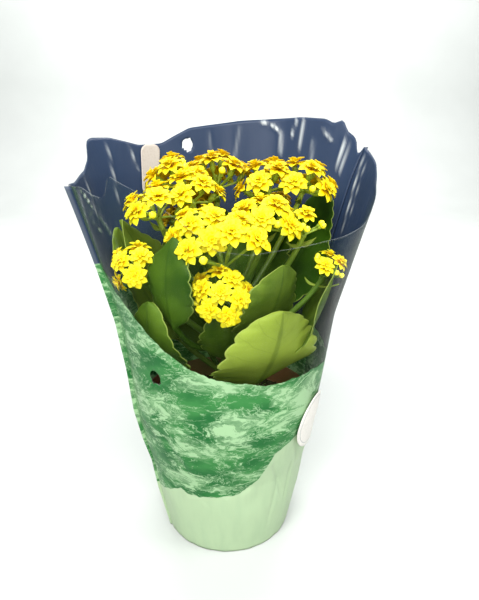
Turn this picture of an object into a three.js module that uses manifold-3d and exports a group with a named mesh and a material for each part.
// A potted double-flowered kalanchoe in its flower sleeve.
// Millimetres, +Z up. The origin is the centre of the pot's foot, on the surface that it stands on.
// The viewer's side is -Y. Angles are in degrees round +Z from +X, so -90 is the front.
import * as THREE from "three";
import { mergeVertices } from "three/addons/utils/BufferGeometryUtils.js";
import Module from "manifold-3d";

const wasm = await Module();
wasm.setup();

// Driving dimensions

const GAP = 0.3; // between pieces that touch
const POT = { foot: 40, rim: 54.5, height: 92, wall: 1.4, floor: 2, lip: 9, draft: 3, sides: 24 };
const DRAIN = { count: 4, radius: 4, ring: 26, turn: 20, sides: 6 };
const SOIL = { top: 85, shoulder: 83.5, edge: 79 };
const TRUNK = { low: 64, high: 160, thick: 5, thin: 3.4, sides: 6 };
const STALK = { thick: 2, thin: 1.6, bend: 0.45, segments: 4, sides: 5 };
const FORK = { radius: 2.6, below: 2, above: 1.5, sides: 5 };
const CALYX = { mouth: 2, stalk: 0.9, sides: 3 };
const BRACT = { places: [0.25, 0.75], length: 12, width: 2, below: 7, rise: 0.3, sag: 0.1, sides: 3 };
const FILM = { wall: 0.8, fin: 3, finFoot: 0.4, foot: 0.4, rows: 6, step: 12, top: 266 };

// A flower's radius, and its petals' layers as parts of that radius, with their heights.
const BLOOM = { radius: 8.5, petals: 6, valley: 0.74, crown: 0.62, dip: 0.4, cup: 2.2, heart: 4.6 };
const BUD = { radius: 2.2, length: 5, tip: 0.4, sides: 3 };

// How flowers lie on a head: the buds' skirt beyond the spread, the buds' nearness to the fork and
// their stride round it, and how far a flower strays in tilt and in turn, in radians.
const HEAD = { skirt: 1.15, budReach: 0.86, budStride: 1.7, tiltStray: 0.05, turnStray: 0.2 };

// How near two flowers may lie, as a part of the sum of their radii, how often they are pushed
// apart, and how far they then nod towards their head's axis.
const SETTLE = { closeness: 0.8, passes: 40, nod: 0.6 };

// A leaf's wall, petiole radius, sections, scallop depth, upward fold, and the two powers that set
// where its blade is widest and how full its outline is.
const LEAF = { thick: 1.4, petiole: 2, segments: 8, notch: 0.88, fold: 0.16, skew: 0.82, full: 0.62 };

// The sleeve's mean radius at each height.
const FILM_PROFILE = [
  [0, 41.4],
  [33, 48],
  [54, 50.8],
  [71, 55.2],
  [92, 59.2],
  [120, 61.2],
  [150, 64.8],
  [180, 71],
  [226, 81],
  [266, 92.5],
];

// The seams' angles, and how far the oval, the seams' points, the lean and the pleats stand out at the
// top. They grow with the given power of the height.
const SEAMS = [-155, 25];
const FLARE = { oval: 11, point: 5, pointWidth: 12, lean: 3.4, power: 4 };
const PLEATS = [
  { folds: 5, depth: 1.4, start: 0.7 },
  { folds: 11, depth: 0.8, start: 2 },
];

// Height of the cut edge of the front sheet and of the back sheet, by angle from seam to seam.
const FRONT_RIM = [
  [-155, 225],
  [-144.5, 225.5],
  [-140, 222.5],
  [-134.5, 221],
  [-131.5, 223],
  [-128.5, 232],
  [-124.5, 228.5],
  [-118, 224],
  [-105, 213],
  [-92, 199],
  [-80, 197],
  [-68, 199],
  [-54, 200.5],
  [-40, 202],
  [-25, 205],
  [-8, 210],
  [3, 222],
  [12, 235],
  [25, 244],
];
const BACK_RIM = [
  [25, 244],
  [27, 237.5],
  [29, 246],
  [31, 250.5],
  [35, 254.5],
  [37, 262.5],
  [40, 259],
  [44, 262.5],
  [55, 264],
  [84, 262],
  [100, 259],
  [110, 257],
  [118, 251.5],
  [124.5, 246.5],
  [135.5, 245.5],
  [149, 250],
  [158, 249.5],
  [161, 247],
  [164, 237],
  [170, 230.5],
  [186, 225],
  [205, 225],
];

// The white care label inside the back sheet, and the round sticker outside the front sheet.
const LABEL = { from: 125.5, to: 135, low: 213, high: 246, slant: 4.5, corner: 5, thick: 0.8, across: 4, up: 3 };
const STICKER = { angle: -29, height: 88, radius: 17.5, thick: 0.8, sides: 16 };
const PAPER_CLEARANCE = 0.8;

// Each leaf: angle, height on the trunk, petiole, blade length and width, rise at the start and at
// the tip in degrees above level, and roll about its own length.
const LEAVES = [
  { angle: -59, height: 97, petiole: 30, length: 62, width: 70, rise: [14, 88], roll: 0 },
  { angle: 33, height: 118, petiole: 38, length: 90, width: 58, rise: [30, 80], roll: 0 },
  { angle: 66, height: 97, petiole: 26, length: 60, width: 48, rise: [16, 86], roll: -5 },
  { angle: 122, height: 101, petiole: 26, length: 64, width: 50, rise: [20, 84], roll: 6 },
  { angle: 174, height: 106, petiole: 34, length: 80, width: 44, rise: [32, 80], roll: -8 },
  { angle: -132, height: 101, petiole: 42, length: 56, width: 40, rise: [0, 100], roll: 0 },
  { angle: -84, height: 112, petiole: 20, length: 44, width: 38, rise: [26, 88], roll: 4 },
  { angle: -12, height: 104, petiole: 34, length: 70, width: 56, rise: [18, 86], roll: 5 },
  { angle: 60, height: 126, petiole: 20, length: 78, width: 60, rise: [46, 84], roll: 0 },
  { angle: 104, height: 122, petiole: 20, length: 76, width: 58, rise: [46, 86], roll: -6 },
  { angle: 150, height: 117, petiole: 22, length: 62, width: 42, rise: [40, 84], roll: 5 },
  { angle: -166, height: 136, petiole: 26, length: 64, width: 46, rise: [36, 66], roll: -20 },
  { angle: -123, height: 127, petiole: 55, length: 50, width: 32, rise: [-4, 122], roll: 0 },
  { angle: -50, height: 130, petiole: 22, length: 54, width: 50, rise: [12, 90], roll: 4 },
];

// Each flower head: top of its dome, the way it leans (and the way its flowers look, if not the
// same), dome radius, half angle that it fills, open flowers, buds round its skirt, the height where
// its stalk leaves the trunk, and the size of its flowers as a part of the full size.
const HEADS = [
  { at: [-34, 25, 238], lean: [-0.3, 0.2, 1], dome: 18, spread: 46, open: 6, buds: 4, from: 152 },
  { at: [-44, -6, 222], lean: [-0.3, -0.1, 1], dome: 18, spread: 46, open: 6, buds: 3, from: 146 },
  { at: [-5, 34, 240], lean: [0.05, 0.15, 1], dome: 22, spread: 50, open: 9, buds: 3, from: 158 },
  { at: [-21, 0, 229], lean: [-0.1, -0.25, 1], dome: 17, spread: 58, open: 5, buds: 2, from: 156 },
  { at: [-13, -31, 210], lean: [-0.1, -0.6, 1], look: [-0.1, -1, 0.7],
    dome: 18, spread: 54, open: 6, buds: 3, from: 140 },
  { at: [0, -38, 208], lean: [0, -0.35, 1], look: [0, -1, 0.5],
    dome: 28, spread: 44, open: 4, buds: 3, from: 136 },
  { at: [24, -14, 216], lean: [0.1, -0.3, 1], look: [0.1, -0.8, 0.8],
    dome: 18, spread: 46, open: 6, buds: 3, from: 154 },
  { at: [28, 22, 236], lean: [0.1, 0, 1], dome: 18, spread: 54, open: 7, buds: 3, from: 150 },
  { at: [53, 18, 235], lean: [0.35, -0.1, 1], dome: 18, spread: 52, open: 7, buds: 2, from: 142 },
  { at: [49, -10, 208], lean: [0.3, -0.35, 1], look: [0.3, -1, 0.6],
    dome: 14, spread: 40, open: 1, buds: 5, from: 138, size: 0.85 },
  { at: [-52, -38, 191], lean: [-0.35, -0.6, 0.9], look: [-0.2, -1, 0.5],
    dome: 13, spread: 62, open: 6, buds: 2, from: 126, size: 0.76 },
  { at: [-1, -48, 178], lean: [0.05, -0.75, 0.8], look: [0.05, -1, 0.4],
    dome: 16, spread: 70, open: 9, buds: 4, from: 120, size: 0.78 },
  { at: [64, -12, 184], lean: [0.5, -0.2, 1], look: [0.8, -0.3, 0.9],
    dome: 14, spread: 44, open: 3, buds: 5, from: 124, size: 0.75 },
  { at: [32, 50, 214], lean: [0.3, 0.5, 1], dome: 18, spread: 66, open: 7, buds: 2, from: 132 },
  { at: [-28, 52, 212], lean: [-0.3, 0.55, 1], dome: 18, spread: 66, open: 7, buds: 2, from: 128 },
];

// Small mathematics

const UP = new THREE.Vector3(0, 0, 1);
const GOLDEN = Math.PI * (3 - Math.sqrt(5));
const radians = THREE.MathUtils.degToRad;
const vec = (x, y, z) => new THREE.Vector3(x, y, z);
const ahead = (angle) => vec(Math.cos(radians(angle)), Math.sin(radians(angle)), 0);
const counted = (count, make) => Array.from({ length: count }, (_, k) => make(k));

// Straight-line interpolation in a table of [x, y] pairs.
function along(table, x) {
  const next = table.findIndex(([at]) => at >= x);
  if (next === 0) return table[0][1];
  if (next < 0) return table.at(-1)[1];
  const [[x0, y0], [x1, y1]] = [table[next - 1], table[next]];
  return y0 + ((y1 - y0) * (x - x0)) / (x1 - x0);
}

// A repeatable number from -1 to 1 for a pair of whole numbers.
function jitter(a, b) {
  const wave = Math.sin(a * 127.1 + b * 311.7) * 43758.5453;
  return 2 * (wave - Math.floor(wave)) - 1;
}

// Two directions square to an axis and to each other.
function squareTo(axis) {
  const side = vec(axis.z, 0, -axis.x).normalize();
  return [side, axis.clone().cross(side)];
}

// Closed solids, and joining and cutting them

function meshGeometry(points, faces) {
  const geometry = new THREE.BufferGeometry();
  const coordinates = points.flatMap((p) => p.toArray());
  geometry.setAttribute("position", new THREE.Float32BufferAttribute(coordinates, 3));
  geometry.setIndex(faces.flat());
  return geometry;
}

function solidOf(geometry) {
  const bare = geometry.clone();
  for (const extra of ["normal", "uv"]) bare.deleteAttribute(extra);
  const merged = mergeVertices(bare, 1e-4);
  const vertProperties = merged.attributes.position.array;
  const triVerts = new Uint32Array(merged.index.array);
  const make = () => new wasm.Manifold(new wasm.Mesh({ numProp: 3, vertProperties, triVerts }));
  const made = make();
  if (made.volume() > 0) return made;
  for (let i = 0; i < triVerts.length; i += 3) triVerts.subarray(i + 1, i + 3).reverse();
  return make();
}

function geometryOf(solid) {
  const mesh = solid.getMesh();
  const geometry = new THREE.BufferGeometry();
  geometry.setAttribute("position", new THREE.BufferAttribute(mesh.vertProperties, 3));
  geometry.setIndex(new THREE.BufferAttribute(mesh.triVerts, 1));
  return geometry;
}

const joined = (solids) => solids.reduce((sum, next) => sum.add(next));
const cut = (solid, tools) => tools.reduce((rest, tool) => rest.subtract(tool), solid);

// The largest connected body, so that a scrap cut loose is dropped.
function mainBody(solid) {
  return solid.decompose().reduce((best, next) => (next.volume() > best.volume() ? next : best));
}

// A closed skin over rings of points, each with the same number, with a fan over each end.
function loft(rings) {
  const sides = rings[0].length;
  const top = (rings.length - 1) * sides;
  const faces = [];
  for (let k = 0; k < top; k += sides)
    for (let j = 0; j < sides; j++) {
      const n = (j + 1) % sides;
      faces.push([k + j, k + n, k + sides + n], [k + j, k + sides + n, k + sides + j]);
    }
  for (let j = 1; j + 1 < sides; j++) faces.push([0, j + 1, j], [top, top + j, top + j + 1]);
  return solidOf(meshGeometry(rings.flat(), faces));
}

// A round bar through points, with a radius at each.
function bar(points, radii, sides) {
  const last = points.length - 1;
  const rings = points.map((p, k) => {
    const way = points[Math.min(k + 1, last)].clone().sub(points[Math.max(k - 1, 0)]);
    const [side, other] = squareTo(way.normalize());
    return counted(sides, (j) => {
      const turn = (2 * Math.PI * j) / sides;
      const spoke = side.clone().multiplyScalar(Math.cos(turn)).addScaledVector(other, Math.sin(turn));
      return p.clone().addScaledVector(spoke, radii[k]);
    });
  });
  return loft(rings);
}

// The plate between two grids of points that lie a wall apart, closed round its border.
function plate(front, back) {
  const [rows, columns] = [front.length, front[0].length];
  const skip = rows * columns;
  const faces = [];
  const quad = (a, b, c, d) => faces.push([a, b, c], [a, c, d]);
  for (let k = 0; k + 1 < rows; k++)
    for (let j = 0; j + 1 < columns; j++) {
      const a = k * columns + j;
      const d = a + columns;
      quad(a, a + 1, d + 1, d);
      faces.push([skip + a, skip + d + 1, skip + a + 1], [skip + a, skip + d, skip + d + 1]);
    }
  for (let j = 0; j + 1 < columns; j++) {
    const end = (rows - 1) * columns + j;
    quad(j + 1, j, skip + j, skip + j + 1);
    quad(end, end + 1, skip + end + 1, skip + end);
  }
  for (let k = 0; k + 1 < rows; k++) {
    const a = k * columns;
    const b = a + columns - 1;
    quad(a, a + columns, skip + a + columns, skip + a);
    quad(b + columns, b, skip + b, skip + b + columns);
  }
  return solidOf(meshGeometry([...front.flat(), ...back.flat()], faces));
}

// Pot and soil

const lathe = (profile) => {
  const outline = profile.map(([r, z]) => new THREE.Vector2(r, z));
  return solidOf(new THREE.LatheGeometry(outline, POT.sides).rotateX(Math.PI / 2));
};

// The pot's inner radius at a height below its lip.
const potInside = (z) => {
  const wide = POT.rim - POT.draft - POT.wall;
  return along([[POT.floor, POT.foot - POT.wall], [POT.height - POT.lip, wide]], z);
};

function makePot() {
  const shoulder = POT.height - POT.lip;
  const shell = lathe([
    [0, 0],
    [POT.foot, 0],
    [POT.rim - POT.draft, shoulder - 1],
    [POT.rim, shoulder],
    [POT.rim, POT.height],
    [POT.rim - POT.wall, POT.height],
    [potInside(shoulder), shoulder],
    [potInside(POT.floor), POT.floor],
    [0, POT.floor],
  ]);
  const drains = counted(DRAIN.count, (k) => {
    const hole = new THREE.CylinderGeometry(DRAIN.radius, DRAIN.radius, 3 * POT.floor, DRAIN.sides);
    const place = ahead((360 * k) / DRAIN.count + DRAIN.turn).multiplyScalar(DRAIN.ring);
    return solidOf(hole.rotateX(Math.PI / 2).translate(place.x, place.y, POT.floor / 2));
  });
  return cut(shell, drains);
}

function makeSoil() {
  const floor = POT.floor + GAP;
  const earth = lathe([
    [0, floor],
    [potInside(floor) - GAP, floor],
    [potInside(SOIL.edge) - GAP, SOIL.edge],
    [0.7 * POT.foot, SOIL.shoulder],
    [0.3 * POT.foot, SOIL.top],
    [0, SOIL.top],
  ]);
  const ends = [vec(0, 0, TRUNK.low - GAP), vec(0, 0, SOIL.top + 1)];
  const hole = bar(ends, [TRUNK.thick + 2 * GAP, TRUNK.thick + 2 * GAP], TRUNK.sides);
  return earth.subtract(hole);
}

// Trunk

const trunkRadius = (z) => along([[TRUNK.low, TRUNK.thick], [TRUNK.high, TRUNK.thin]], z);

function makeTrunk() {
  const ends = [TRUNK.low, TRUNK.high];
  return bar(ends.map((z) => vec(0, 0, z)), ends.map(trunkRadius), TRUNK.sides);
}

// Leaves: a petiole that widens into an ovate blade with a scalloped edge, bent up by the sleeve

// Places along a leaf, each with the way it runs and the way its upper face looks.
function leafSpine(leaf, distances) {
  const out = ahead(leaf.angle);
  const total = leaf.petiole + leaf.length;
  const stride = total / 60;
  const start = trunkRadius(leaf.height) + GAP + LEAF.petiole * Math.sin(radians(leaf.rise[0]));
  const place = out.clone().multiplyScalar(start).setZ(leaf.height);
  const found = [];
  for (let walked = 0; found.length < distances.length; walked += stride) {
    const rise = radians(THREE.MathUtils.lerp(leaf.rise[0], leaf.rise[1], walked / total));
    const way = out.clone().multiplyScalar(Math.cos(rise)).setZ(Math.sin(rise));
    const face = out.clone().multiplyScalar(-Math.sin(rise)).setZ(Math.cos(rise));
    while (found.length < distances.length && distances[found.length] <= walked + 1e-6)
      found.push({ place: place.clone(), way, face });
    place.addScaledVector(way, stride);
  }
  return found;
}

// Half width of the blade at share s of its length, as a part of its full half width.
const leafOutline = (s) => Math.sin(Math.PI * s ** LEAF.skew) ** LEAF.full;

function makeLeaf(leaf, grow = 0) {
  const { petiole, length, width } = leaf;
  const sections = [
    { at: 0, half: LEAF.petiole, thick: LEAF.petiole },
    { at: 0.55 * petiole, half: 0.9 * LEAF.petiole, thick: 0.8 * LEAF.petiole },
    ...counted(LEAF.segments + 1, (k) => {
      const share = k / LEAF.segments;
      const edge = k % 2 ? LEAF.notch : 1;
      const half = Math.max(0.5 * width * leafOutline(share) * edge, LEAF.petiole);
      return { at: petiole + share * length, half, thick: LEAF.thick / 2 };
    }),
  ];
  const spine = leafSpine(leaf, sections.map((section) => section.at));
  const rings = spine.map(({ place, way, face }, k) => {
    const half = sections[k].half + grow;
    const thick = sections[k].thick + grow;
    const up = face.clone().applyAxisAngle(way, radians(leaf.roll));
    const side = way.clone().cross(up);
    const lift = sections[k].at < petiole ? 0 : LEAF.fold * half;
    const point = (across, above) =>
      place
        .clone()
        .addScaledVector(side, across * half)
        .addScaledVector(up, above * thick + lift * Math.abs(across));
    return [point(-1, 1), point(0, 1), point(1, 1), point(1, -1), point(0, -1), point(-1, -1)];
  });
  return loft(rings);
}

// Sleeve: the middle of the film at an angle and a height

function filmRadius(angle, z) {
  const lift = (z / FILM.top) ** FLARE.power;
  const turn = radians(angle);
  const away = SEAMS.map((seam) => Math.abs(THREE.MathUtils.euclideanModulo(angle - seam + 180, 360) - 180));
  const point = FLARE.point * Math.exp(-((Math.min(...away) / FLARE.pointWidth) ** 2));
  const pleat = ({ folds, depth, start }) => depth * Math.sin(folds * turn + start);
  const pleats = PLEATS.reduce((sum, fold) => sum + pleat(fold), 0);
  const oval = FLARE.oval * Math.cos(2 * turn) + FLARE.lean * Math.cos(turn);
  return along(FILM_PROFILE, z) + lift * (oval + point + pleats);
}

const filmPoint = (angle, z, proud = 0) =>
  ahead(angle).multiplyScalar(filmRadius(angle, z) + proud).setZ(z);

// Flower heads

const flowerRadius = ({ open, size }) => size * (open ? BLOOM.radius : BUD.radius);

// The fork under each head, its axis, and its flowers on a spiral over the dome.
function makeHead(head, number) {
  const axis = vec(...head.lean).normalize();
  const look = vec(...(head.look ?? head.lean)).normalize();
  const [side, other] = squareTo(axis);
  const fork = vec(...head.at).addScaledVector(axis, -head.dome);
  const flowers = counted(head.open + head.buds, (k) => {
    const open = k < head.open;
    const share = open ? Math.sqrt((k + 0.5) / head.open) : HEAD.skirt;
    const tilt = radians(head.spread * share) + HEAD.tiltStray * jitter(number, k);
    const turn = (open ? k : HEAD.budStride * k) * GOLDEN + number + HEAD.turnStray * jitter(k, number);
    const aim = axis
      .clone()
      .multiplyScalar(Math.cos(tilt))
      .addScaledVector(side, Math.sin(tilt) * Math.cos(turn))
      .addScaledVector(other, Math.sin(tilt) * Math.sin(turn));
    const reach = open ? head.dome - BLOOM.cup : HEAD.budReach * head.dome;
    const size = head.size ?? 1;
    const place = fork.clone().addScaledVector(aim, reach);
    return { fork, look, place, reach, open, size, spin: 2 * jitter(k + 7, number) };
  });
  return { ...head, axis, fork, flowers };
}

// Pushes crowded flowers apart, each staying on its own dome and inside the sleeve.
function settle(flowers) {
  const pushApart = (a, b) => {
    const between = a.place.clone().sub(b.place);
    const wanted = SETTLE.closeness * (flowerRadius(a) + flowerRadius(b));
    if (between.length() >= wanted) return;
    between.setLength((wanted - between.length()) / 2);
    a.place.add(between);
    b.place.sub(between);
  };
  const holdIn = (flower) => {
    const { place, fork, reach } = flower;
    place.sub(fork).setLength(reach).add(fork);
    const angle = THREE.MathUtils.radToDeg(Math.atan2(place.y, place.x));
    const limit = filmRadius(angle, place.z) - FILM.wall - flowerRadius(flower);
    const radius = Math.hypot(place.x, place.y);
    if (radius > limit) place.multiply(vec(limit / radius, limit / radius, 1));
  };
  for (let pass = 0; pass < SETTLE.passes; pass++) {
    flowers.forEach((a, i) => flowers.slice(i + 1).forEach((b) => pushApart(a, b)));
    flowers.forEach(holdIn);
  }
  for (const flower of flowers) {
    const aim = flower.place.clone().sub(flower.fork).normalize();
    flower.face = aim.addScaledVector(flower.look, SETTLE.nod).normalize();
  }
}

// A double flower with its calyx and stalk, in one skin from the fork to the heart: a three-sided stalk
// that widens to the calyx, an outer star of pointed petals, and a smaller star raised on it, turned
// half a petal.
function makeBloom({ place, fork, face, size, spin }, grow) {
  const { petals, valley, crown: top, dip: hollow, cup, heart } = BLOOM;
  const radius = size * BLOOM.radius;
  const turned = new THREE.Quaternion().setFromUnitVectors(UP, face);
  const ring = (count, r, z, turn = 0, centre = place) =>
    counted(count, (i) => {
      const angle = spin + (2 * Math.PI * (i + turn)) / count;
      const reach = r + grow;
      return vec(reach * Math.cos(angle), reach * Math.sin(angle), z).applyQuaternion(turned).add(centre);
    });
  const tips = ring(petals, radius, cup);
  const valleys = ring(petals, valley * radius, 0.8 * cup, 0.5);
  const rings = [
    ring(CALYX.sides, CALYX.stalk, 0, 0, fork),
    ring(CALYX.sides, CALYX.mouth, 0),
    tips.flatMap((tip, i) => [tip, valleys[i]]),
    ring(petals, top * radius, heart + grow, 0.5),
    ring(petals, hollow * radius, heart - 1 + grow),
    [place.clone().addScaledVector(face, heart - 2 + grow)],
  ];
  const starts = rings.map((_, k) => rings.slice(0, k).flat().length);
  const [root, mouth, star, crown, dip, heartPoint] = rings.map(
    (points, k) => (i) => starts[k] + ((i + points.length) % points.length),
  );
  const stalkFaces = counted(CALYX.sides, (i) => [
    [root(i), root(i + 1), mouth(i + 1)],
    [root(i), mouth(i + 1), mouth(i)],
  ]);
  const perSide = (2 * petals) / CALYX.sides;
  const underFaces = counted(2 * petals, (j) => {
    const side = Math.round((j + 0.5) / perSide);
    const wedge = [mouth(side), star(j + 1), star(j)];
    const next = Math.round((j + 1.5) / perSide);
    return side === next ? [wedge] : [wedge, [mouth(side), mouth(next), star(j + 1)]];
  });
  const petalFaces = counted(petals, (i) => [
    [star(2 * i - 1), star(2 * i), dip(i)],
    [star(2 * i - 1), dip(i), crown(i - 1)],
    [star(2 * i), star(2 * i + 1), dip(i)],
    [star(2 * i + 1), crown(i), dip(i)],
    [heartPoint(0), crown(i - 1), dip(i)],
    [heartPoint(0), dip(i), crown(i)],
  ]);
  const faces = [[[root(0), root(2), root(1)]], ...stalkFaces, ...underFaces, ...petalFaces];
  return solidOf(meshGeometry(rings.flat(), faces.flat()));
}

// A head: every open flower and bud on its own stalk, all rising from one fork.
function makeBlooms({ axis, fork, flowers }, grow = 0) {
  const level = (height) => fork.clone().addScaledVector(axis, height);
  const knotLine = [level(-FORK.below - grow), level(0), level(FORK.above + grow)];
  const knotRadii = [0.6 * FORK.radius + grow, FORK.radius + grow, 0.4 * FORK.radius + grow];
  const parts = flowers.map((flower) => {
    if (flower.open) return makeBloom(flower, grow);
    const tip = flower.place.clone().addScaledVector(flower.face, BUD.length / 2);
    const radii = [CALYX.stalk, flowerRadius(flower), BUD.tip * flowerRadius(flower)];
    return bar([fork, flower.place, tip], radii.map((radius) => radius + grow), BUD.sides);
  });
  return joined([bar(knotLine, knotRadii, FORK.sides), ...parts]);
}

// The stalk that carries a head: it leaves the trunk, bends up to the fork and bears two narrow bracts.
function makeStalk({ axis, fork, from }, grow = 0) {
  const out = vec(fork.x, fork.y, 0).normalize();
  const root = out.clone().multiplyScalar(trunkRadius(from) + GAP + STALK.thick).setZ(from);
  const end = fork.clone().addScaledVector(axis, -FORK.below - GAP);
  const bend = fork.clone().addScaledVector(axis, -STALK.bend * fork.distanceTo(root));
  const line = new THREE.QuadraticBezierCurve3(root, bend, end).getPoints(STALK.segments);
  const thickness = (k) => THREE.MathUtils.lerp(STALK.thick, STALK.thin, k / STALK.segments);
  const stalk = bar(line, line.map((_, k) => thickness(k) + grow), STALK.sides);
  const base = fork.clone().addScaledVector(axis, -BRACT.below);
  const bracts = BRACT.places.map((share) => {
    const away = ahead(360 * share + 57 * from).multiplyScalar(BRACT.length);
    const tip = base.clone().add(away).addScaledVector(axis, BRACT.rise * BRACT.length);
    const middle = base.clone().lerp(tip, 0.5).addScaledVector(axis, -BRACT.sag * BRACT.length);
    return bar([base, middle, tip], [1, BRACT.width, 0.5].map((radius) => radius + grow), BRACT.sides);
  });
  return joined([stalk, ...bracts]);
}

// Sleeve sheets, label and sticker

// Angles of a sheet's columns: those of its rim's own points, with long stretches divided.
function columnAngles(rim) {
  return rim.flatMap(([angle], k) => {
    const span = k + 1 < rim.length ? rim[k + 1][0] - angle : 0;
    const parts = Math.max(1, Math.ceil(span / FILM.step));
    return counted(parts, (j) => angle + (span * j) / parts);
  });
}

// A sheet from seam to seam, turned outwards at both ends into a flat welded fin.
function makeSheet(rim) {
  const angles = columnAngles(rim);
  const faceOf = (side) => {
    const proud = (side * FILM.wall) / 2;
    const inset = (GAP + FILM.wall) / 2 - proud;
    return counted(FILM.rows + 1, (k) => {
      const heightAt = (angle) => THREE.MathUtils.lerp(FILM.foot, along(rim, angle), k / FILM.rows);
      const row = angles.map((angle) => filmPoint(angle, heightAt(angle), proud));
      const fin = FILM.fin * Math.min(1, FILM.finFoot + k / FILM.rows);
      const finned = (angle, corner, sign) => {
        const out = ahead(angle);
        const root = corner.clone().addScaledVector(vec(-out.y, out.x, 0), sign * inset);
        return [root, root.clone().addScaledVector(out, fin - proud)];
      };
      const [left, leftFin] = finned(angles[0], row[0], 1);
      const [right, rightFin] = finned(angles.at(-1), row.at(-1), -1);
      return [leftFin, left, ...row.slice(1, -1), right, rightFin];
    });
  };
  return plate(faceOf(1), faceOf(-1));
}

function makeLabel() {
  const outer = -FILM.wall / 2 - PAPER_CLEARANCE;
  const faceAt = (proud) =>
    counted(LABEL.up + 1, (k) =>
      counted(LABEL.across + 1, (j) => {
        const edge = j === 0 || j === LABEL.across;
        const low = LABEL.low + (edge ? LABEL.corner : 0);
        const height = THREE.MathUtils.lerp(low, LABEL.high, k / LABEL.up);
        const lean = (LABEL.slant * (LABEL.high - height)) / (LABEL.high - LABEL.low);
        return filmPoint(THREE.MathUtils.lerp(LABEL.from, LABEL.to, j / LABEL.across) + lean, height, proud);
      }),
    );
  return plate(faceAt(outer), faceAt(outer - LABEL.thick));
}

function makeSticker() {
  const near = FILM.wall / 2 + PAPER_CLEARANCE;
  const far = near + STICKER.thick;
  const arc = STICKER.radius / filmRadius(STICKER.angle, STICKER.height);
  const ring = (share, proud) =>
    counted(STICKER.sides, (k) => {
      const turn = (2 * Math.PI * k) / STICKER.sides;
      const angle = STICKER.angle + THREE.MathUtils.radToDeg(share * arc * Math.cos(turn));
      return filmPoint(angle, STICKER.height + share * STICKER.radius * Math.sin(turn), proud);
    });
  return loft([ring(0.5, near), ring(1, near), ring(1, far), ring(0.5, far)]);
}

// Putting it together

const material = (color, roughness) => new THREE.MeshStandardMaterial({ color, roughness, metalness: 0 });
const MATERIALS = {
  terracotta: material(0x7a4128, 0.6),
  soil: material(0x2b1d14, 1),
  stem: material(0x7c9a2e, 0.5),
  leaf: material(0x4c7a1e, 0.4),
  petal: material(0xffdc14, 0.5),
  printedFilm: material(0x4fa65c, 0.35),
  smokyFilm: material(0x43536e, 0.25),
  paper: material(0xf4efe8, 0.6),
};
for (const film of [MATERIALS.printedFilm, MATERIALS.smokyFilm]) {
  film.transparent = true;
  film.opacity = 0.6;
}

const pottedPlant = new THREE.Group();

function add(name, solid, material) {
  const mesh = new THREE.Mesh(geometryOf(solid), material);
  mesh.name = name;
  pottedPlant.add(mesh);
}

const numbered = (name, k) => `${name}_${String(k + 1).padStart(2, "0")}`;

add("pot", makePot(), MATERIALS.terracotta);
add("soil", makeSoil(), MATERIALS.soil);
add("trunk", makeTrunk(), MATERIALS.stem);

const heads = HEADS.map(makeHead);
settle(heads.flatMap((head) => head.flowers));

const roomForStalks = heads.map((head) => makeStalk(head, GAP));
const roomForBlooms = heads.map((head) => makeBlooms(head, GAP));
heads.forEach((head, k) => {
  const stalkTools = roomForStalks.slice(0, k);
  add(numbered("stalk", k), mainBody(cut(makeStalk(head), stalkTools)), MATERIALS.stem);
  const bloomTools = [...roomForStalks, ...roomForBlooms.slice(0, k)];
  add(numbered("blooms", k), mainBody(cut(makeBlooms(head), bloomTools)), MATERIALS.petal);
});

const roomForLeaves = LEAVES.map((leaf) => makeLeaf(leaf, GAP));
LEAVES.forEach((leaf, k) => {
  const tools = [...roomForStalks, ...roomForBlooms, ...roomForLeaves.slice(0, k)];
  add(numbered("leaf", k), mainBody(cut(makeLeaf(leaf), tools)), MATERIALS.leaf);
});

add("sleeve_front", makeSheet(FRONT_RIM), MATERIALS.printedFilm);
add("sleeve_back", makeSheet(BACK_RIM), MATERIALS.smokyFilm);
add("care_label", makeLabel(), MATERIALS.paper);
add("round_sticker", makeSticker(), MATERIALS.paper);

export default pottedPlant;
